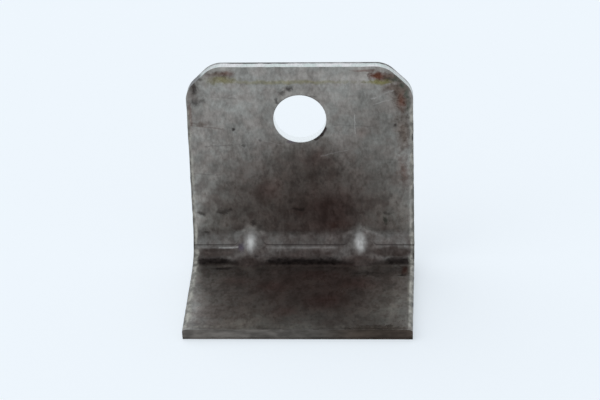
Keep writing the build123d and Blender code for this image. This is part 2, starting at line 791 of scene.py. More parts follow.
    @cached_property
    def wander(self) -> NodeSocket:
        """Noise vector along the sheet that makes the edges of marks ragged, made once for the material."""
        middle = (self.noise_middle,) * 3
        around_zero = self.vector("SUBTRACT", self.cloud(self.wandering, self.strip).outputs["Color"], middle)
        return self.vector("MULTIPLY", around_zero, (1.0, 1.0, 0.0))

    @cached_property
    def flakes(self) -> NodeSocket:
        """Noise around 0 that breaks the edges of marks into flakes, made once for the material."""
        # Its place follows the wander, so that it isn't worked out before the first mark
        place = self.vector("ADD", self.strip, self.wander)
        return self.sum("SUBTRACT", self.cloud(self.flaking, place).outputs["Fac"], self.noise_middle)

    def wandered(self, ragged: float) -> NodeSocket:
        """Strip coordinates moved about by the wander.

        The wander comes first in the sums of a mark, because sums of constants alone would all be kept at
        once, and the shader would overflow.

        Args:
            ragged: How far they move, in millimetres.

        Returns:
            The moved coordinates.
        """
        return self.vector("ADD", self.strip, self.scaled(self.wander, ragged))

    def spot(self, spot: Spot) -> NodeSocket:
        """Mask of a spot, 1 inside it and 0 outside."""
        offset = self.vector("SUBTRACT", self.wandered(spot.ragged), spot.centre)
        distance = self.vector("LENGTH", self.vector("DIVIDE", offset, spot.reach))
        if spot.broken:
            distance = self.sum("ADD", distance, self.product(self.flakes, spot.broken))
        return self.fade(distance, Ramp(1.0, 1.0 - spot.softness))

    def stroke(self, stroke: Stroke) -> NodeSocket:
        """Mask of a stroke, 1 along its line and 0 beside it."""
        start = Vector((*stroke.start, INNER_DEPTH))
        along = Vector((*stroke.end, INNER_DEPTH)) - start
        offset = self.vector("SUBTRACT", self.wandered(stroke.ragged), tuple(start))
        share = self.vector("DOT_PRODUCT", offset, tuple(along))
        share = self.sum("MULTIPLY", share, 1 / along.length_squared, clamp=True)
        aside = self.vector("LENGTH", self.vector("SUBTRACT", offset, self.scaled(tuple(along), share)))
        aside = self.sum("ADD", aside, self.product(self.flakes, stroke.broken * stroke.width))
        return self.fade(aside, Ramp(stroke.width, stroke.width * (1 - stroke.softness)))

    def coated(self, coat: Coat) -> NodeSocket:
        """Colour of what covers the steel, thicker and thinner from place to place."""
        return self.tinted(self.greys(self.fade(self.flakes, self.coat_cover), self.coat_levels), coat.value)

    def finish(
        self, colour: NodeSocket, roughness: NodeSocket, height: NodeSocket, relief: Relief
    ) -> Material:
        """Joins a metal's colour, roughness and relief to the shader.

        Args:
            colour: Colour of its reflection.
            roughness: Its roughness.
            height: The pattern that shows as relief.
            relief: Depth and strength of the relief.

        Returns:
            The material.
        """
        bump = self.node("ShaderNodeBump")
        bump.inputs["Distance"].default_value = relief.depth * MM
        bump.inputs["Strength"].default_value = relief.strength
        self.feed(bump.inputs["Height"], height)
        self.shader.inputs["Metallic"].default_value = 1.0
        joined = {"Base Color": colour, "Roughness": roughness, "Normal": bump.outputs["Normal"]}
        for name, value in joined.items():
            self.feed(self.shader.inputs[name], value)
        return self.material


STAINS: tuple[Stain, ...] = (
    # The first two veils are painted shade and reflection, darkening the lower middle of the upright leaf.
    Stain(Veil.OIL_AND_SHADE, 1.0, 38.8, 22.0, 15.5, 1.0, 5.0, 0.8),
    Stain(Veil.GREY, 0.5, 44.5, 13.0, 8.5, 1.0, 4.0, 0.9),
    Stain(Veil.GREY, 14.0, 50.0, 8.5, 13.0, 0.9, 4.0, 0.9),
    Stain(Veil.GREY, -13.5, 41.0, 8.0, 11.0, 0.75, 4.0, 0.9),
    Stain(Veil.GREY, 15.0, 41.0, 7.0, 7.0, 0.8, 3.0, 0.9),
    Stain(Veil.GREY, -6.5, 53.5, 4.5, 5.0, 0.5, 3.0, 1.0),
    Stain(Veil.GREY, 8.0, 55.5, 9.0, 6.0, 0.35, 4.0, 1.0),
    Stain(Veil.GREY, -15.5, 28.8, 5.5, 2.2, 0.75, 1.0, 0.8),
    Stain(Veil.GREY, -9.5, 30.6, 3.6, 1.5, 0.8, 1.0, 0.9),
    Stain(Veil.OIL_AND_SHADE, -9.8, 26.2, 5.0, 3.8, 0.55, 1.4, 0.7),
    Stain(Veil.GREY, 10.3, 30.6, 3.6, 1.5, 0.8, 1.0, 0.9),
    Stain(Veil.OIL_AND_SHADE, 10.5, 26.2, 5.0, 3.8, 0.5, 1.4, 0.7),
    Stain(Veil.GREY, -1.0, 28.2, 6.0, 1.6, 0.25, 1.0, 0.9),
    Stain(Veil.BROWN, 5.0, 34.0, 8.5, 8.0, 0.75, 4.0, 0.9),
    Stain(Veil.BROWN, 0.0, 16.0, 30.0, 15.0, 0.65, 3.0, 0.8),
    Stain(Veil.RED, -5.0, 14.5, 4.5, 3.2, 0.6, 3.0, 0.9),
    Stain(Veil.RED, 4.5, 9.5, 6.0, 4.0, 0.6, 3.0, 0.9),
    Stain(Veil.RED, 10.5, 15.5, 5.0, 3.2, 0.6, 3.0, 0.9),
    Stain(Veil.RED, -2.5, 6.0, 4.0, 2.4, 0.5, 2.5, 0.9),
    Stain(Veil.RED, 2.5, 18.5, 6.0, 2.6, 0.5, 2.5, 0.9),
    Stain(Veil.RED, -11.0, 16.5, 3.4, 2.6, 0.4, 2.5, 0.9),
    Stain(Veil.RED, -6.0, 38.5, 4.0, 2.6, 0.35, 3.0, 0.9),
    Stain(Veil.RED, 2.5, 45.0, 4.0, 3.0, 0.35, 3.0, 0.9),
    Stain(Veil.BROWN, -1.0, 15.5, 9.0, 8.0, 0.3, 4.0, 0.9),
    Stain(Veil.BROWN, -13.0, 4.0, 8.0, 8.0, 0.4, 4.0, 0.9),
    Stain(Veil.PALE, 16.2, 9.5, 2.6, 5.5, 0.9, 1.5, 0.6),
    Stain(Veil.PALE, -8.5, 4.0, 6.5, 4.5, 0.5, 2.5, 0.8),
    Stain(Veil.PALE, 14.0, 5.5, 4.0, 4.5, 0.35, 2.0, 0.8),
    Stain(Veil.PALE, -11.0, 1.2, 5.5, 3.2, 0.9, 1.5, 0.8),
    Stain(Veil.PALE, 0.0, 1.0, 8.0, 2.4, 0.45, 1.5, 0.9),
    Stain(Veil.GREY, -6.2, 53.0, 1.6, 3.0, 0.45, 1.0, 0.9),
    Stain(Veil.GREY, 6.2, 53.0, 1.6, 3.0, 0.6, 1.0, 0.9),
    Stain(Veil.GREY, 9.5, 61.8, 4.0, 1.2, 0.6, 1.2, 0.9),
    Stain(Veil.GREY, -18.0, 44.0, 2.2, 10.0, 0.4, 2.0, 0.9),
    Stain(Veil.OIL_AND_SHADE, -13.8, 61.4, 3.6, 1.5, 0.65, 1.4, 0.9),
    Stain(Veil.OIL_AND_SHADE, -18.6, 58.8, 1.6, 3.0, 0.6, 1.2, 0.9),
    Stain(Veil.GREY, -17.8, 55.0, 2.4, 3.4, 0.5, 1.6, 0.9),
    Stain(Veil.OIL_AND_SHADE, 15.8, 60.8, 3.0, 1.4, 0.8, 1.2, 0.8),
    Stain(Veil.OIL_AND_SHADE, 17.8, 58.8, 1.9, 2.4, 0.8, 1.2, 0.8),
    Stain(Veil.OIL_AND_SHADE, 18.6, 55.5, 1.5, 4.6, 0.6, 1.2, 0.9),
    # Painted shade: the next four veils darken the crease of the bend beside and between the darts.
    Stain(Veil.OIL_AND_SHADE, -15.8, 26.1, 4.8, 0.9, 0.45, 0.5, 0.6),
    Stain(Veil.OIL_AND_SHADE, -15.8, 25.2, 5.0, 1.7, 0.9, 0.7, 0.6),
    Stain(Veil.OIL_AND_SHADE, 16.0, 25.4, 5.0, 1.5, 0.95, 0.9, 0.5),
    Stain(Veil.OIL_AND_SHADE, 0.0, 24.8, 9.0, 1.7, 0.75, 0.7, 0.6),
    Stain(Coat.OLIVE, -13.4, 60.5, 4.0, 1.1, 0.8, 1.6, 1.0),
    Stain(Coat.BROWN_SCALE, -14.2, 61.6, 3.0, 1.0, 0.8, 1.4, 1.0),
    Stain(Coat.RUST, -12.4, 61.8, 2.0, 0.7, 0.6, 1.4, 1.0),
    Stain(Coat.OLIVE, -2.0, 60.1, 17.0, 0.6, 0.55, 0.9),
    Stain(Coat.SOOT_AND_SHADE, -18.3, 59.1, 0.9, 1.6, 0.85, 1.4),
    Stain(Coat.SOOT_AND_SHADE, -19.2, 60.0, 0.9, 1.6, 0.9, 0.8),
    Stain(Coat.SOOT_AND_SHADE, -17.6, 60.6, 1.3, 0.4, 0.5, 1.0),
    Stain(Coat.SOOT_AND_SHADE, -17.8, 56.2, 2.0, 1.0, 0.7, 2.2, 1.0),
    Stain(Coat.BROWN_SCALE, -17.6, 51.9, 2.2, 0.8, 0.6, 2.6),
    Stain(Coat.RUST, -19.4, 53.5, 0.55, 4.2, 0.55, 1.0),
    Stain(Coat.BROWN_SCALE, 15.2, 60.9, 3.4, 1.5, 0.75, 1.2, 1.0),
    Stain(Coat.RUST, 13.8, 61.2, 2.3, 1.3, 1.0, 1.0, 0.8),
    Stain(Coat.RUST, 11.8, 62.3, 3.2, 0.4, 0.55, 0.8),
    Stain(Coat.BROWN_SCALE, 15.9, 60.9, 1.6, 0.9, 0.9, 1.2, 0.8),
    Stain(Coat.OLIVE, 14.0, 60.0, 3.4, 0.7, 0.95, 1.0, 0.8),
    Stain(Coat.BROWN_SCALE, 16.1, 58.9, 1.9, 1.1, 0.75, 1.6, 1.0),
    Stain(Coat.BROWN_SCALE, 17.7, 57.2, 2.3, 4.8, 0.85, 1.6, 0.9, broken=1.0),
    Stain(Coat.GREEN_SCALE, 16.9, 60.6, 1.3, 0.9, 0.8, 1.0, 1.0),
    Stain(Coat.GREEN_SCALE, 18.1, 59.4, 1.0, 1.0, 0.8, 1.0, 1.0),
    Stain(Coat.GREEN_SCALE, 18.9, 57.8, 0.8, 1.7, 0.8, 0.8, 1.0),
    Stain(Coat.GREEN_SCALE, 19.1, 55.2, 0.7, 2.6, 0.7, 0.8, 1.0),
    Stain(Coat.RUST, 17.8, 56.3, 1.2, 2.6, 0.75, 1.4, 1.0),
    Stain(Coat.BROWN_SCALE, 18.2, 50.2, 2.0, 6.4, 0.85, 2.2, 1.0),
    Stain(Coat.RUST, 18.2, 42.5, 1.5, 4.6, 0.5, 2.4, 1.0),
    Stain(Coat.RUST, 11.0, 50.1, 1.4, 1.6, 0.22, 2.0),
    Stain(Coat.SOOT_AND_SHADE, -1.9, 58.7, 1.4, 0.75, 0.9, 1.0),
    Stain(Coat.SOOT_AND_SHADE, -3.2, 58.0, 1.2, 0.65, 0.65, 1.2),
    Stain(Coat.SOOT_AND_SHADE, -4.1, 56.3, 0.5, 0.8, 0.65, 1.2),
    Stain(Coat.VIOLET_SCALE, -1.4, 48.4, 1.5, 0.5, 0.7, 0.8),
    Stain(Coat.SOOT_AND_SHADE, 1.4, 57.3, 2.4, 0.35, 0.5, 0.6),
    Stain(Coat.SOOT_AND_SHADE, 16.8, 51.5, 0.5, 0.55, 0.9, 0.8),
    Stain(Coat.SOOT_AND_SHADE, -11.8, 50.8, 0.45, 0.45, 0.85, 0.6),
    Stain(Coat.SOOT_AND_SHADE, -10.2, 47.6, 0.5, 0.4, 0.5, 0.8),
    Stain(Coat.SOOT_AND_SHADE, -7.2, 48.6, 0.5, 0.4, 0.45, 0.8),
    Stain(Coat.SOOT_AND_SHADE, -0.7, 34.6, 1.7, 0.6, 0.8, 2.0),
    Stain(Coat.SOOT_AND_SHADE, -14.0, 34.4, 1.7, 0.9, 0.65, 2.6),
    Stain(Coat.SOOT_AND_SHADE, -18.0, 33.8, 1.3, 0.7, 0.65, 2.2),
    Stain(Coat.SOOT_AND_SHADE, -9.0, 31.6, 0.9, 1.0, 0.7, 2.2),
    Stain(Coat.SOOT_AND_SHADE, -17.6, 29.6, 1.2, 0.5, 0.6, 1.6),
    Stain(Coat.GREEN_SCALE, 14.8, 32.3, 0.6, 1.2, 0.8, 1.2),
    Stain(Coat.SOOT_AND_SHADE, 15.5, 33.9, 1.0, 0.5, 0.5, 2.0),
    Stain(Coat.RUST, 6.3, 31.6, 2.8, 1.2, 0.25, 2.4),
    # Painted shade: the next three veils darken the crease of the bend by the darts and by the left side.
    Stain(Veil.OIL_AND_SHADE, -9.8, 22.6, 4.6, 2.4, 1.0, 1.2, 0.7),
    Stain(Veil.OIL_AND_SHADE, 10.4, 22.8, 5.4, 2.6, 1.0, 1.2, 0.7),
    Stain(Veil.OIL_AND_SHADE, -17.0, 22.6, 4.0, 1.8, 0.7, 1.2, 0.7),
    Stain(Coat.SOOT_AND_SHADE, -14.5, 20.6, 2.8, 0.8, 0.75, 1.6),
    Stain(Coat.SOOT_AND_SHADE, 12.0, 19.2, 4.5, 0.5, 0.4, 2.4),
    Stain(Coat.VIOLET_SCALE, -11.1, 26.2, 0.9, 1.3, 0.65, 0.8),
    Stain(Coat.SOOT_AND_SHADE, -8.4, 24.1, 0.5, 0.45, 0.8, 0.6),
    Stain(Coat.RUST, 18.2, 20.0, 1.1, 2.3, 0.9, 1.4),
    Stain(Coat.SOOT_AND_SHADE, 17.6, 18.3, 1.5, 0.4, 0.7, 1.2),
    Stain(Coat.BROWN_SCALE, 14.5, 0.4, 8.5, 1.7, 0.8, 1.6, 0.7),
)


STROKES: tuple[Stroke, ...] = (
    Stroke(Coat.BARE_AND_HIGHLIGHT, (12.6, 56.7), (16.5, 58.4), 0.22, 0.3),
    Stroke(Coat.BARE_AND_HIGHLIGHT, (12.9, 55.6), (15.6, 56.5), 0.18, 0.22),
    Stroke(Coat.BARE_AND_HIGHLIGHT, (9.6, 53.6), (9.7, 50.0), 0.14, 0.4),
    Stroke(Coat.BROWN_SCALE, (-19.4, 51.6), (-13.6, 50.9), 0.22, 0.45),
    Stroke(Coat.SOOT_AND_SHADE, (2.7, 48.85), (3.75, 49.75), 0.5, 0.9, 0.6, 0.3, 0.4),
    Stroke(Coat.SOOT_AND_SHADE, (3.75, 49.75), (4.4, 50.9), 0.5, 1.0, 0.6, 0.3, 0.4),
    Stroke(Coat.BARE_AND_HIGHLIGHT, (-12.4, 57.2), (-8.6, 58.3), 0.14, 0.2),
    Stroke(Coat.BARE_AND_HIGHLIGHT, (-8.0, 49.0), (-3.4, 47.6), 0.12, 0.15),
    Stroke(Coat.SOOT_AND_SHADE, (6.0, 51.6), (13.0, 51.3), 0.16, 0.3),
    Stroke(Coat.SOOT_AND_SHADE, (-17.0, 47.4), (-12.0, 47.7), 0.18, 0.3),
    Stroke(Coat.SOOT_AND_SHADE, (-19.5, 42.0), (-14.5, 41.6), 0.16, 0.25),
    Stroke(Coat.SOOT_AND_SHADE, (-15.5, 57.2), (-11.0, 56.9), 0.14, 0.2),
    Stroke(Coat.BARE_AND_HIGHLIGHT, (3.5, 45.5), (8.4, 46.6), 0.14, 0.15),
    Stroke(Coat.BARE_AND_HIGHLIGHT, (-14.0, 9.0), (-9.0, 7.0), 0.2, 0.12),
    Stroke(Coat.BARE_AND_HIGHLIGHT, (6.0, 5.0), (13.0, 8.5), 0.18, 0.12),
    # Painted shade: the next five strokes darken the deepest line of the crease.
    Stroke(Coat.SOOT_AND_SHADE, (-19.6, 23.2), (-14.4, 23.1), 1.7, 1.0, 0.8, 0.8, 0.7),
    Stroke(Coat.SOOT_AND_SHADE, (-14.8, 23.1), (-12.6, 22.7), 1.0, 0.6, 0.9, 1.4, 1.2),
    Stroke(Coat.SOOT_AND_SHADE, (-5.4, 23.15), (5.6, 23.05), 1.45, 1.0, 0.8, 1.0, 0.9),
    Stroke(Coat.SOOT_AND_SHADE, (15.9, 23.1), (19.6, 23.1), 1.4, 0.95, 0.8, 1.0, 0.9),
    Stroke(Coat.SOOT_AND_SHADE, (5.6, 23.1), (9.0, 23.0), 0.8, 0.45, 0.9, 1.4, 1.2),
    # Painted highlight: the next three strokes lighten the tool's lip, just below the tool's line.
    Stroke(Coat.BARE_AND_HIGHLIGHT, (-15.2, 26.35), (-11.9, 26.35), 0.34, 0.45, 1.0, 0.3, 0.8),
    Stroke(Coat.BARE_AND_HIGHLIGHT, (-19.2, 26.35), (-15.6, 26.35), 0.32, 0.12, 1.0, 0.3, 0.8),
    Stroke(Coat.BARE_AND_HIGHLIGHT, (-6.5, 26.35), (6.0, 26.35), 0.36, 0.12, 1.0, 0.3, 0.8),
    Stroke(Coat.BARE_AND_HIGHLIGHT, (-19.6, 0.12), (19.6, 0.12), 0.32, 0.22, 1.0, 0.2, 0.6),
)


@dataclass(frozen=True)
class BendShade:
    """Painted shade on the inside of the bend."""

    tint: Colour = (0.42, 0.40, 0.40)
    strength: float = 0.9
    start: Ramp = Ramp(21.4, 22.6)
    end: Ramp = Ramp(31.2, 29.2)

    def over(self, bench: NodeBench, colour: NodeSocket, run: NodeSocket, inner: NodeSocket) -> NodeSocket:
        """Lays the painted shade over the steel.

        Args:
            bench: The material's bench.
            colour: The colour so far.
            run: Run along the strip.
            inner: 1 on the inner face and 0 on the outer one.

        Returns:
            The colour with the painted shade.
        """
        in_bend = bench.product(bench.fade(run, self.start), bench.fade(run, self.end))
        painted_shade = bench.product(in_bend, inner, self.strength)
        return bench.mix(painted_shade, colour, bench.tinted(colour, self.tint))


@dataclass(frozen=True)
class Grime:
    """Smears and specks of grime, thickest on the base leaf and low on the upright one."""

    tint: Colour = (0.53, 0.465, 0.455)
    thickness: Ramp = Ramp(52.0, 36.0, 0.3, 0.8)
    smears: Pattern = Pattern(0.42, 5.0, (1.0, 0.8, 1.0), (4.0, 8.0, 2.0))
    smear_edges: Ramp = Ramp(0.44, 0.66)
    smear_strength: float = 0.8
    specks: Pattern = Pattern(1.05, 3.0, (1.0, 0.6, 1.0), (8.0, 1.0, 6.0))
    speck_edges: Ramp = Ramp(0.46, 0.70)
    speck_strength: float = 0.75
    clean_rise: Ramp = Ramp(52.0, 36.0)
    clean_levels: tuple[float, float] = (1.05, 1.2)

    def over(self, bench: NodeBench, colour: NodeSocket, run: NodeSocket) -> NodeSocket:
        """Lays the grime over the steel.

        Args:
            bench: The material's bench.
            colour: The colour so far.
            run: Run along the strip.

        Returns:
            The colour with the grime.
        """
        thick = bench.fade(run, self.thickness)
        smears = bench.fade(bench.noise(self.smears), self.smear_edges)
        specks = bench.fade(bench.noise(self.specks), self.speck_edges)
        smears = bench.product(smears, self.smear_strength)
        grime = bench.sum("MAXIMUM", smears, bench.product(specks, self.speck_strength))
        under = bench.tinted(colour, self.tint)
        clean = bench.tinted(colour, bench.greys(bench.fade(run, self.clean_rise), self.clean_levels))
        return bench.mix(bench.product(grime, thick), clean, under)


@dataclass(frozen=True)
class WornSides:
    """Worn, scale-free steel along the sides of both leaves, shaded and torn at the very edge."""

    colour: Colour = (0.40, 0.375, 0.325)
    levels: tuple[float, float] = (0.45, 1.2)
    strength: float = 0.82
    width: Ramp = Ramp(30.0, 18.0, 0.62, 1.15)
    outline: Pattern = Pattern(0.7, 5.0, (1.0, 0.5, 1.0), (1.0, 6.0, 2.0))
    outline_swing: float = 1.8
    border: Ramp = Ramp(0.32, -0.35)
    off_hole: Ramp = Ramp(0.6, 1.2)
    off_front: Ramp = Ramp(0.3, 1.5)
    off_top: Ramp = Ramp(57.0, 53.0)
    grain: Pattern = Pattern(1.2, 5.0, (1.0, 0.6, 1.0), (3.0, 7.0, 7.0))
    grain_edges: Ramp = Ramp(0.36, 0.64)
    shade: Colour = (0.35, 0.35, 0.35)
    shade_strength: float = 0.65
    shade_width: Ramp = Ramp(0.8, 0.0)
    shade_top: Ramp = Ramp(57.0, 50.0)
    shade_front: Ramp = Ramp(0.8, 2.2)
    burrs: Pattern = Pattern(0.9, 4.0, (1.0, 0.8, 0.0), (5.0, 5.0, 1.0))
    burr_edges: Ramp = Ramp(0.52, 0.60)
    burr_width: Ramp = Ramp(0.32, 0.18)
    burr_strength: float = 0.85

    def over(self, bench: NodeBench, colour: NodeSocket, run: NodeSocket, inner: NodeSocket) -> NodeSocket:
        """Lays the worn sides over the steel.

        Args:
            bench: The material's bench.
            colour: The colour so far.
            run: Run along the strip.
            inner: 1 on the inner face and 0 on the outer one.

        Returns:
            The colour with the worn sides.
        """
        outline = bench.noise(self.outline)
        width = bench.fade(run, self.width)
        swing = bench.product(bench.sum("SUBTRACT", outline, bench.noise_middle), self.outline_swing)
        near = bench.sum("SUBTRACT", bench.rim, bench.sum("ADD", width, swing))
        worn = bench.product(bench.fade(near, self.border), inner)
        for place, ramp in ((bench.hole, self.off_hole), (run, self.off_front), (run, self.off_top)):
            worn = bench.product(worn, bench.fade(place, ramp))
        grain = bench.fade(bench.noise(self.grain), self.grain_edges)
        steel = bench.shades(grain, self.colour, self.levels)
        colour = bench.mix(bench.product(worn, self.strength), colour, steel)
        low = bench.product(bench.fade(run, self.shade_top), bench.fade(run, self.shade_front), inner)
        at_border = bench.fade(bench.rim, self.shade_width)
        shade = bench.product(at_border, bench.product(low, self.shade_strength))
        colour = bench.mix(shade, colour, bench.tinted(colour, self.shade))
        burrs = bench.fade(bench.noise(self.burrs), self.burr_edges)
        torn = bench.product(bench.fade(bench.rim, self.burr_width), bench.product(low, burrs))
        return bench.mix(bench.product(torn, self.burr_strength), colour, Coat.SOOT_AND_SHADE.value)


@dataclass(frozen=True)
class PolishedCrestsAndHighlight:
    """Bright steel where the tool and use rubbed the scale off the crests of the darts, which also carries a
    painted highlight where the crests catch the light.
    """

    colour: Colour = (0.52, 0.50, 0.475)
    rubbing: Pattern = Pattern(1.0, 3.0, (1.0, 0.4, 1.0), (2.0, 2.0, 8.0))
    rubbed: Ramp = Ramp(0.34, 0.60, 0.5, 1.0)
    # The glow and the core are painted highlight as well as polish
    glow_run: float = 27.2
    glow_reach: Triple = (2.3, 2.8, 2.0)
    glow_strength: float = 0.12
    core_run: float = 27.1
    core_reach: Triple = (1.5, 3.1, 2.0)
    ragged: float = 1.2

    def on_crest(self, dart: Dart, run: float, reach: Triple) -> Spot:
        """A spot with a soft edge on the crest of a dart."""
        return Spot((dart.across, run, INNER_DEPTH), reach, self.ragged, softness=1.0)

    def over(self, bench: NodeBench, colour: NodeSocket, darts: list[Dart]) -> NodeSocket:
        """Lays the bright steel and its painted highlight over the crests.

        Args:
            bench: The material's bench.
            colour: The colour so far.
            darts: The darts.

        Returns:
            The colour with bright crests.
        """
        rubbed = bench.fade(bench.noise(self.rubbing), self.rubbed)
        for dart in darts:
            # Painted highlight over the rubbed steel of each crest: a faint glow round it and a brighter core
            glow = bench.spot(self.on_crest(dart, self.glow_run, self.glow_reach))
            core = bench.spot(self.on_crest(dart, self.core_run, self.core_reach))
            colour = bench.mix(bench.product(glow, self.glow_strength), colour, self.colour)
            colour = bench.mix(bench.product(core, rubbed), colour, self.colour)
        return colour


@dataclass(frozen=True)
class ToolLineShade:
    """Painted shade along the bending tool's line, which climbs over the flanks of the darts."""

    strength: float = 0.65
    width: Ramp = Ramp(0.2, 0.05)
    climb: Ramp = Ramp(2.9, 1.0, 0.0, 2.6)
    off_crest: Ramp = Ramp(1.4, 3.1)

    def over(
        self, bench: NodeBench, colour: NodeSocket, across: NodeSocket, run: NodeSocket, inner: NodeSocket,
        darts: list[Dart], line_run: float,
    ) -> NodeSocket:
        """Draws the painted shade of the line over the steel.

        Args:
            bench: The material's bench.
            colour: The colour so far.
            across: Place across the strip.
            run: Run along it.
            inner: 1 on the inner face and 0 on the outer one.
            darts: The darts.
            line_run: Run of the tool's line.

        Returns:
            The colour with the painted shade of the line.
        """
        line = bench.sum("SUBTRACT", run, line_run)
        shown = inner
        for dart in darts:
            aside = bench.sum("ABSOLUTE", bench.sum("SUBTRACT", across, dart.across))
            line = bench.sum("SUBTRACT", line, bench.fade(aside, self.climb))
            shown = bench.product(shown, bench.fade(aside, self.off_crest))
        near = bench.fade(bench.sum("ABSOLUTE", line), self.width)
        return bench.mix(bench.product(near, shown, self.strength), colour, Coat.SOOT_AND_SHADE.value)


@dataclass(frozen=True)
class MillScale:
    """Hot-rolled steel under its dark mill scale, stained by oil and rust, with painted shade in the bend and
    on the lower upright leaf, and painted highlights on the darts and the tool's lip.
    """

    dark: Colour = (0.152, 0.141, 0.130)
    light: Colour = (0.392, 0.379, 0.358)
    tones: Ramp = Ramp(0.42, 1.22)
    cool: Colour = (0.985, 1.0, 0.985)
    warm: Colour = (1.03, 0.99, 0.965)
    drift: Pattern = Pattern(0.42, 5.0, shift=(9.0, 9.0, 9.0))
    drift_edges: Ramp = Ramp(0.36, 0.64)
    inner_face: Ramp = Ramp(1.2, 1.8)
    patches: Pattern = Pattern(0.09)
    patches_weight: float = 0.45
    # Blotches, fine grain and faint streaks across, each with its weight
    finer_patterns: tuple[tuple[Pattern, float], ...] = (
        (Pattern(0.55, 4.0, (1.0, 0.65, 1.0), (7.0, 3.0, 1.0)), 0.55),
        (Pattern(2.0, 3.0, (1.0, 0.6, 1.0), (2.0, 9.0, 4.0)), 0.55),
        (Pattern(1.0, 3.0, (0.14, 1.2, 0.5), (5.0, 1.0, 2.0)), 0.13),
    )
    roughness: Ramp = Ramp(0.5, 1.1, 0.38, 0.27)
    relief: Relief = Relief(0.02, 0.4)
    bend_shade: BendShade = BendShade()
    grime: Grime = Grime()
    worn_sides: WornSides = WornSides()
    crests: PolishedCrestsAndHighlight = PolishedCrestsAndHighlight()
    tool_line_shade: ToolLineShade = ToolLineShade()

    def make(self, darts: list[Dart], edges: WornEdges) -> Material:
        """Makes the finish.

        Args:
            darts: The darts, whose crests the tool has polished and which carry a painted highlight.
            edges: The worn edges and the tool's line.

        Returns:
            The material.
        """
        bench = NodeBench("mill_scale")
        tone = self.mottle(bench)
        colour = bench.mix(bench.fade(tone, self.tones), self.dark, self.light)
        drift = bench.mix(bench.fade(bench.noise(self.drift), self.drift_edges), self.cool, self.warm)
        colour = bench.tinted(colour, drift)
        across, run, depth = bench.places()
        inner = bench.fade(depth, self.inner_face)
        # Painted shade in the bend
        colour = self.bend_shade.over(bench, colour, run, inner)
        colour = self.grime.over(bench, colour, run)
        for stain in STAINS:
            mask = bench.spot(stain.spot())
            soaks = isinstance(stain.what, Veil)
            cover = bench.tinted(colour, stain.what.value) if soaks else bench.coated(stain.what)
            colour = bench.mix(bench.product(mask, stain.strength), colour, cover)
        for stroke in STROKES:
            mask = bench.product(bench.stroke(stroke), stroke.strength)
            colour = bench.mix(mask, colour, bench.coated(stroke.what))
        colour = self.worn_sides.over(bench, colour, run, inner)
        # Polished crests with a painted highlight
        colour = self.crests.over(bench, colour, darts)
        # Painted shade along the tool's line
        colour = self.tool_line_shade.over(bench, colour, across, run, inner, darts, edges.tool_line_run)
        return bench.finish(colour, bench.fade(tone, self.roughness), tone, self.relief)

    def mottle(self, bench: NodeBench) -> NodeSocket:
        """Mottled tone of rolled steel: broad patches, blotches, fine grain and faint streaks across.

        Args:
            bench: The material's bench.

        Returns:
            The tone, mostly between 0.5 and 1.1.
        """
        tone = bench.product(bench.noise(self.patches), self.patches_weight)
        finer = [(bench.noise(pattern), weight) for pattern, weight in self.finer_patterns]
        for pattern, weight in finer:
            tone = bench.sum("ADD", tone, bench.product(pattern, weight))
        return tone


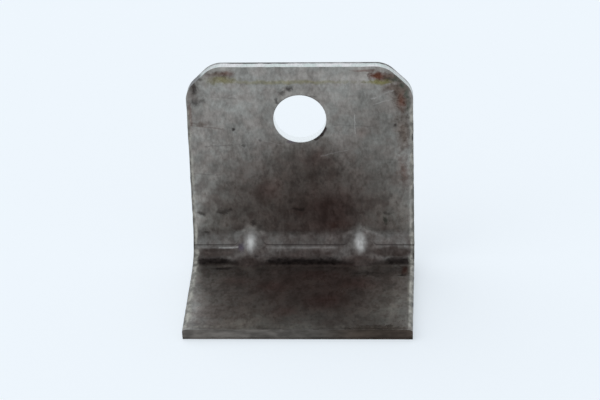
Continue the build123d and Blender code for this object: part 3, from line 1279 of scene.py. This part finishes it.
@dataclass(frozen=True)
class CutEdge:
    """Blanked edge of the sheet: a bright sheared band by the inner face and a dark torn zone outside."""

    bright: Colour = (0.80, 0.765, 0.75)
    greenish: Colour = (0.66, 0.70, 0.66)
    green_patches: Pattern = Pattern(0.5, 4.0, shift=(1.0, 4.0, 4.0))
    green_edges: Ramp = Ramp(0.38, 0.62)
    corner_shade: Ramp = Ramp(13.5, 16.5, 1.0, 0.8)
    scratches: Pattern = Pattern(3.0, 3.0, (1.0, 1.0, 0.15))
    scratch_tones: Ramp = Ramp(0.3, 0.8, 1.06, 0.86)
    lining: Colour = (0.93, 0.93, 0.92)
    in_hole: Ramp = Ramp(0.9, 0.6)
    border: Pattern = Pattern(0.9, 4.0, shift=(3.0, 3.0, 3.0))
    border_swing: float = 0.5
    border_depth: Ramp = Ramp(0.5, 0.85)
    torn: Colour = (0.12, 0.11, 0.105)
    torn_grain: Pattern = Pattern(2.2, 4.0)
    torn_levels: tuple[float, float] = (0.5, 1.7)
    rubbed_top: Ramp = Ramp(56.0, 60.0)
    rubbed_level: float = 0.66
    rubbed_strength: float = 0.85
    torn_marks: tuple[Spot, ...] = (
        Spot((-7.0, 63.0, 0.3), (6.0, 4.0, 3.0), 1.2, 0.4, 1.0),
        Spot((13.2, 63.0, 0.3), (2.8, 4.0, 3.0), 1.2, 0.5, 1.0),
        Spot((15.9, 62.2, 0.2), (1.0, 1.4, 2.0), 0.4, 0.5, 0.5),
    )
    dull: Colour = (0.129, 0.116, 0.104)
    dull_blotches: Pattern = Pattern(0.8, 5.0, (0.5, 1.0, 1.3), (6.0, 2.0, 5.0))
    dull_edges: Ramp = Ramp(0.3, 0.7)
    dull_levels: tuple[float, float] = (0.7, 1.3)
    brown_tint: Colour = (1.12, 0.96, 0.86)
    brown_side: Ramp = Ramp(2.0, 12.0)
    dull_side: Ramp = Ramp(-16.0, 14.0, 1.3, 0.5)
    grimy_sides: Ramp = Ramp(33.0, 20.0)
    grimy_strength: float = 0.55
    front_edge: Ramp = Ramp(0.6, 0.1)
    smear: Spot = Spot((-18.9, 60.2, 1.5), (2.4, 2.4, 3.0), 0.8, 0.4)
    smear_strength: float = 0.85
    roughness: Ramp = Ramp(0.0, 1.0, 0.6, 0.36)
    front_roughness: float = 0.2
    relief: Relief = Relief(0.03, 0.6)

    def make(self) -> Material:
        """Makes the finish.

        Returns:
            The material.
        """
        bench = NodeBench("cut_edge")
        across, run, depth = bench.places()
        in_hole = bench.fade(bench.hole, self.in_hole)
        border = bench.sum("ADD", depth, bench.product(bench.noise(self.border), self.border_swing))
        sheared = bench.sum("MAXIMUM", bench.fade(border, self.border_depth), in_hole)
        scratches = bench.noise(self.scratches)
        patches = bench.fade(bench.noise(self.green_patches), self.green_edges)
        bright = bench.mix(patches, self.bright, self.greenish)
        aside = bench.fade(bench.sum("ABSOLUTE", across), self.corner_shade)
        bright = bench.scaled(bright, bench.product(aside, bench.fade(scratches, self.scratch_tones)))
        bright = bench.mix(in_hole, bright, self.lining)
        colour = bench.mix(sheared, self.torn_zone(bench, run), bright)
        dull = self.dull_steel(bench, across)
        grimy = bench.fade(run, self.grimy_sides)
        colour = bench.mix(bench.product(grimy, self.grimy_strength), colour, dull)
        front = bench.fade(run, self.front_edge)
        colour = bench.mix(front, colour, dull)
        smear = bench.spot(self.smear)
        colour = bench.mix(bench.product(smear, self.smear_strength), colour, Coat.SOOT_AND_SHADE.value)
        rough = bench.fade(sheared, self.roughness)
        rough = bench.sum("ADD", rough, bench.product(front, self.front_roughness), clamp=True)
        return bench.finish(colour, rough, scratches, self.relief)

    def torn_zone(self, bench: NodeBench, run: NodeSocket) -> NodeSocket:
        """Colour of the torn zone, which is rubbed bright at the top but for a few dark marks.

        Args:
            bench: The material's bench.
            run: Run along the strip.

        Returns:
            The colour.
        """
        torn = bench.shades(bench.noise(self.torn_grain), self.torn, self.torn_levels)
        marks = bench.spot(self.torn_marks[0])
        for mark in self.torn_marks[1:]:
            marks = bench.sum("MAXIMUM", marks, bench.spot(mark))
        rubbed = bench.product(bench.fade(run, self.rubbed_top), bench.sum("SUBTRACT", 1.0, marks))
        share = bench.product(rubbed, self.rubbed_strength)
        return bench.mix(share, torn, bench.scaled(self.bright, self.rubbed_level))

    def dull_steel(self, bench: NodeBench, across: NodeSocket) -> NodeSocket:
        """Colour of the dull steel of the front edge, darker and browner towards the right.

        Args:
            bench: The material's bench.
            across: Place across the strip.

        Returns:
            The colour.
        """
        blotches = bench.fade(bench.noise(self.dull_blotches), self.dull_edges)
        dull = bench.shades(blotches, self.dull, self.dull_levels)
        dull = bench.tinted(dull, bench.mix(bench.fade(across, self.brown_side), (1, 1, 1), self.brown_tint))
        return bench.scaled(dull, bench.fade(across, self.dull_side))


@dataclass
class Bracket:
    """The bracket: one folded strip with its hole, darts and worn edges."""

    sheet: FoldedStrip = field(default_factory=FoldedStrip)
    hole: BoltHole = field(default_factory=BoltHole)
    darts: list[Dart] = field(default_factory=lambda: [Dart(across=-9.5), Dart(across=10.3)])
    edges: WornEdges = field(default_factory=WornEdges)
    weld: float = 0.0005
    sharp_angle: float = 38.0
    probe: float = 0.1
    cut_lean: float = 0.6
    mask_reach: float = 5.0

    def build(self) -> Object:
        """Models the bracket.

        Returns:
            Its object, at the origin, in metres.
        """
        bm = bmesh.new()
        self.sheet.fold(bm, self.darts)
        self.hole.pierce(bm, self.sheet)
        bmesh.ops.remove_doubles(bm, verts=bm.verts[:], dist=self.weld)
        bmesh.ops.recalc_face_normals(bm, faces=bm.faces[:])
        self.sort_faces(bm)
        self.shape(bm)
        for face in bm.faces:
            face.smooth = True
        for edge in bm.edges:
            edge.smooth = edge.calc_face_angle(0) < math.radians(self.sharp_angle)
        bmesh.ops.scale(bm, vec=(MM, MM, MM), verts=bm.verts[:])
        mesh = bpy.data.meshes.new("bracket_steel")
        bm.to_mesh(mesh)
        bm.free()
        piece = bpy.data.objects.new("bracket_steel", mesh)
        bpy.context.scene.collection.objects.link(piece)
        return piece

    def sort_faces(self, bm: BMesh) -> None:
        """Gives the cut faces their own material slot.

        Args:
            bm: The mesh, before it is worn.
        """
        for face in bm.faces:
            strip = self.sheet.strip_of(face.calc_center_median())
            under = self.sheet.point_of(strip - Vector((0, 0, self.probe)))
            through = (self.sheet.point_of(strip) - under).normalized()
            skin = Skin.CUT if abs(face.normal.dot(through)) < self.cut_lean else Skin.ROLLED
            face.material_index = skin.value

    def shape(self, bm: BMesh) -> None:
        """Wears the edges, presses the darts and writes the strip coordinates that the finishes follow.

        Args:
            bm: The mesh of the plain strip.
        """
        strip_layer = bm.verts.layers.float_vector.new("strip")
        rim_layer = bm.verts.layers.float.new("rim")
        hole_layer = bm.verts.layers.float.new("hole")
        for vert in bm.verts:
            strip = self.sheet.strip_of(vert.co)
            vert[strip_layer] = strip
            vert[rim_layer] = min(self.sheet.edge_distance(strip), self.mask_reach)
            vert[hole_layer] = min(max(0.0, self.hole.rim_distance(strip, self.sheet)), self.mask_reach)
            point = self.sheet.point_of(self.edges.wear(strip, self.sheet))
            for dart in self.darts:
                point = dart.press(point, strip, self.sheet)
            vert.co = point

    def dress(self, piece: Object, scale: MillScale, cut: CutEdge) -> None:
        """Gives the bracket its finishes and puts it in the CAD node's place.

        Args:
            piece: The bracket's object.
            scale: Finish of the rolled faces.
            cut: Finish of the cut faces.
        """
        piece.data.materials.append(scale.make(self.darts, self.edges))
        piece.data.materials.append(cut.make())
        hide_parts("bracket")
        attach(piece, "root")


@dataclass
class PhotoCamera:
    """Camera at the photograph's viewing angle. Millimetres and degrees, and metres for its clipping."""

    place: Triple = (26.545, -398.511, 243.012)
    azimuth: float = 3.76
    elevation: float = 29.2
    roll: float = 1.91
    lens: float = 158.06
    nearest: float = 0.05
    farthest: float = 20.0

    def set_up(self) -> None:
        """Makes the camera the scene's own."""
        turn, rise = math.radians(self.azimuth), math.radians(self.elevation)
        back = Vector((math.sin(turn) * math.cos(rise), -math.cos(turn) * math.cos(rise), math.sin(rise)))
        right = Vector((math.cos(turn), math.sin(turn), 0))
        up = back.cross(right)
        tilt = math.radians(self.roll)
        rolled_right = right * math.cos(tilt) - up * math.sin(tilt)
        rolled_up = right * math.sin(tilt) + up * math.cos(tilt)
        axes = Matrix((rolled_right, rolled_up, back)).transposed().to_4x4()
        data = bpy.data.cameras.new("camera")
        data.lens = self.lens
        data.clip_start, data.clip_end = self.nearest, self.farthest
        camera = bpy.data.objects.new("camera", data)
        camera.matrix_world = Matrix.Translation(Vector(self.place) * MM) @ axes
        bpy.context.scene.collection.objects.link(camera)
        bpy.context.scene.camera = camera


@dataclass
class Studio:
    """Pale floor and soft light. Metres and degrees."""

    backdrop: Colour = (0.855, 0.922, 0.982)
    floor_glow: float = 0.55
    floor_tint: Colour = (0.484, 0.498, 0.512)
    key_strength: float = 1.5
    key_angle: float = 95.0
    key_direction: Triple = (0.75, -0.25, -0.75)
    fill_strength: float = 0.55
    floor_half: float = 6.0

    def seen(self, tree: bpy.types.NodeTree) -> NodeSocket:
        """1 for the rays that see the backdrop directly, in gloss or through glass, and 0 for the rest.

        Args:
            tree: The node tree of the floor or the world.

        Returns:
            The share.
        """
        path = tree.nodes.new("ShaderNodeLightPath")
        total = path.outputs["Is Camera Ray"]
        for name in ("Is Glossy Ray", "Is Transmission Ray"):
            adder = tree.nodes.new("ShaderNodeMath")
            adder.operation = "ADD"
            adder.use_clamp = True
            tree.links.new(total, adder.inputs[0])
            tree.links.new(path.outputs[name], adder.inputs[1])
            total = adder.outputs[0]
        return total

    def lay_floor(self) -> Object:
        """Lays the pale floor, which keeps the bracket's shadow.

        Returns:
            The floor.
        """
        bm = bmesh.new()
        bmesh.ops.create_grid(bm, x_segments=1, y_segments=1, size=self.floor_half)
        mesh = bpy.data.meshes.new("floor")
        bm.to_mesh(mesh)
        bm.free()
        floor = bpy.data.objects.new("floor", mesh)
        bpy.context.scene.collection.objects.link(floor)
        material = bpy.data.materials.new("floor")
        material.use_nodes = True
        tree = material.node_tree
        tree.nodes.clear()
        glow = tree.nodes.new("ShaderNodeEmission")
        glow.inputs["Color"].default_value = (*self.backdrop, 1)
        strength = tree.nodes.new("ShaderNodeMath")
        strength.operation = "MULTIPLY"
        strength.inputs[1].default_value = self.floor_glow
        tree.links.new(self.seen(tree), strength.inputs[0])
        tree.links.new(strength.outputs[0], glow.inputs["Strength"])
        plain = tree.nodes.new("ShaderNodeBsdfDiffuse")
        plain.inputs["Color"].default_value = (*self.floor_tint, 1)
        both = tree.nodes.new("ShaderNodeAddShader")
        tree.links.new(glow.outputs[0], both.inputs[0])
        tree.links.new(plain.outputs[0], both.inputs[1])
        out = tree.nodes.new("ShaderNodeOutputMaterial")
        tree.links.new(both.outputs[0], out.inputs["Surface"])
        floor.data.materials.append(material)
        return floor

    def light(self) -> None:
        """Sets the pale surroundings, which the steel mirrors, and a broad soft key light for the shadow."""
        world = bpy.data.worlds.new("surroundings")
        bpy.context.scene.world = world
        world.use_nodes = True
        tree = world.node_tree
        shade = tree.nodes["Background"]
        shade.inputs["Color"].default_value = (*self.backdrop, 1)
        strength = tree.nodes.new("ShaderNodeMapRange")
        strength.inputs["To Min"].default_value = self.fill_strength
        strength.inputs["To Max"].default_value = 1.0
        tree.links.new(self.seen(tree), strength.inputs["Value"])
        tree.links.new(strength.outputs["Result"], shade.inputs["Strength"])
        data = bpy.data.lights.new("key", "SUN")
        data.energy = self.key_strength
        data.angle = math.radians(self.key_angle)
        key = bpy.data.objects.new("key", data)
        key.rotation_euler = Vector(self.key_direction).to_track_quat("-Z", "Y").to_euler()
        key.visible_glossy = False
        bpy.context.scene.collection.objects.link(key)


def main() -> None:
    """Builds the bracket and its studio, and reports each piece."""
    logging.basicConfig(level=logging.INFO, format="%(message)s")
    bpy.context.scene.view_settings.view_transform = "Standard"
    PhotoCamera().set_up()
    studio = Studio()
    floor = studio.lay_floor()
    studio.light()
    log.info("%s: pale floor", floor.name)
    bracket = Bracket()
    piece = bracket.build()
    bracket.dress(piece, MillScale(), CutEdge())
    log.info("%s: %d faces", piece.name, len(piece.data.polygons))


if __name__ == "__main__":
    main()
